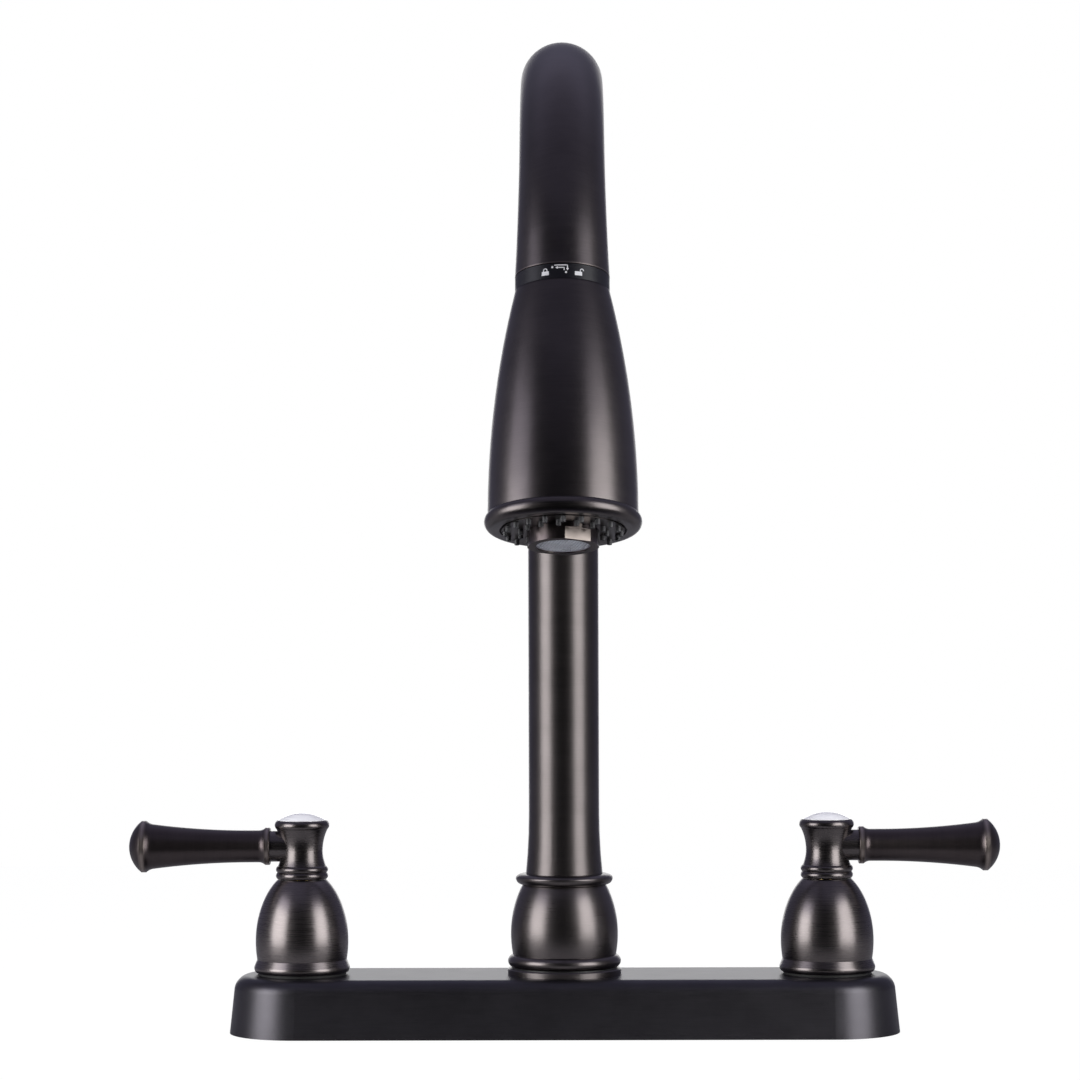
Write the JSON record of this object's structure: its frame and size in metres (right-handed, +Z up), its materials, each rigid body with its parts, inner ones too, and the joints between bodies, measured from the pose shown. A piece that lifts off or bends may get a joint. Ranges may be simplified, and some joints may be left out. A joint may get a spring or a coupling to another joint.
{
  "type": "two handle kitchen faucet",
  "caption": "Deck-mounted two-lever kitchen faucet with a high swivelling gooseneck spout and a pull-down spray head, on one deck plate.",
  "frame": {"origin": "on the deck surface, on the axis of the spout post, at the underside of the deck gasket", "axes": "+Z up out of the deck, +X to the right between the two handles (the cold side), -Y towards the user, where the spout reaches at rest"},
  "size_m": [0.3372, 0.2562, 0.4468],
  "materials": {
    "dark_bronze": "satin brushed dark oil-rubbed bronze over brass",
    "raw_brass": "machined, unplated",
    "copper": "drawn tube",
    "steel": "stainless, fine turned",
    "black_rubber": "matte",
    "grey_rubber": "matte, soft silicone",
    "white_acetal": "moulded",
    "black_acetal": "moulded, fine grain",
    "disc_ceramic": "lapped",
    "white_dome": "polished",
    "braided_hose": "woven nylon sleeve over a flexible hose"
  },
  "bodies": {
    "base": {"deck_plate": "dark_bronze", "deck_gasket": "black_rubber", "mixing_body": "raw_brass", "outlet_nipple": "copper", "hose_guide_tube": "steel", "spout_post": "raw_brass", "swivel_bushings": "white_acetal", "hose_liner": "white_acetal", "spout_base_ring": "dark_bronze", "thrust_washer": "black_acetal", "left_valve_body": "raw_brass", "right_valve_body": "raw_brass", "transfer_tubes": "copper", "cartridge_sleeves": "raw_brass", "left_bell": "dark_bronze", "right_bell": "dark_bronze", "seat_seals": "black_rubber", "sleeve_seals": "black_rubber", "fixed_discs": "disc_ceramic", "bonnet_nuts": "raw_brass", "bell_gaskets": "black_rubber", "deck_washers": "steel", "lock_nuts": "raw_brass"},
    "left_handle": {"left_lever_hub": "dark_bronze", "left_lever": "dark_bronze", "left_lever_stud": "steel", "left_valve_stem": "raw_brass", "left_moving_disc": "disc_ceramic", "left_handle_screw": "steel", "left_index_dome": "white_dome"},
    "right_handle": {"right_lever_hub": "dark_bronze", "right_lever": "dark_bronze", "right_lever_stud": "steel", "right_valve_stem": "raw_brass", "right_moving_disc": "disc_ceramic", "right_handle_screw": "steel", "right_index_dome": "white_dome"},
    "spout": {"spout_hub": "dark_bronze", "spout_tube": "dark_bronze", "spout_set_screw": "steel", "dock_socket": "black_acetal", "pull_hose": "braided_hose", "hose_tail_fitting": "raw_brass"},
    "hose_end": {"hose_ferrule": "steel", "hose_tip": "braided_hose", "hose_connector": "raw_brass", "swivel_ring": "black_rubber"},
    "spray_head": {"lock_collar": "black_acetal", "head_shell": "dark_bronze", "head_bezel": "dark_bronze", "head_core": "black_acetal", "check_valve": "white_acetal", "nozzle_pad": "grey_rubber", "face_plate": "dark_bronze"},
    "outlet": {"outlet_barrel": "dark_bronze", "diverter_spool": "black_acetal", "spool_ring": "black_rubber", "aerator_insert": "black_acetal", "aerator_screen": "steel"}
  },
  "joints": [
    {"name": "left_handle_turn", "type": "hinge", "parent": "base", "child": "left_handle", "pos_m": [-0.1016, 0, 0], "axis": [0, 0, 1], "range_deg": [0, 90]},
    {"name": "right_handle_turn", "type": "hinge", "parent": "base", "child": "right_handle", "pos_m": [0.1016, 0, 0], "axis": [0, 0, 1], "range_deg": [-90, 0]},
    {"name": "spout_swivel", "type": "hinge", "parent": "base", "child": "spout", "pos_m": [0, 0, 0], "axis": [0, 0, 1], "range_deg": [-110, 110]},
    {"name": "hose_pull", "type": "slide", "parent": "spout", "child": "hose_end", "axis": [0, -0.2198, -0.9755], "range_m": [0, 0.4]},
    {"name": "head_twist", "type": "hinge", "parent": "hose_end", "child": "spray_head", "pos_m": [0, -0.18175, 0.27863], "axis": [0, -0.2198, -0.9755], "range_deg": [0, 40]},
    {"name": "outlet_slide", "type": "slide", "parent": "spray_head", "child": "outlet", "axis": [0, -0.2198, -0.9755], "range_m": [0, 0.003]}
  ]
}
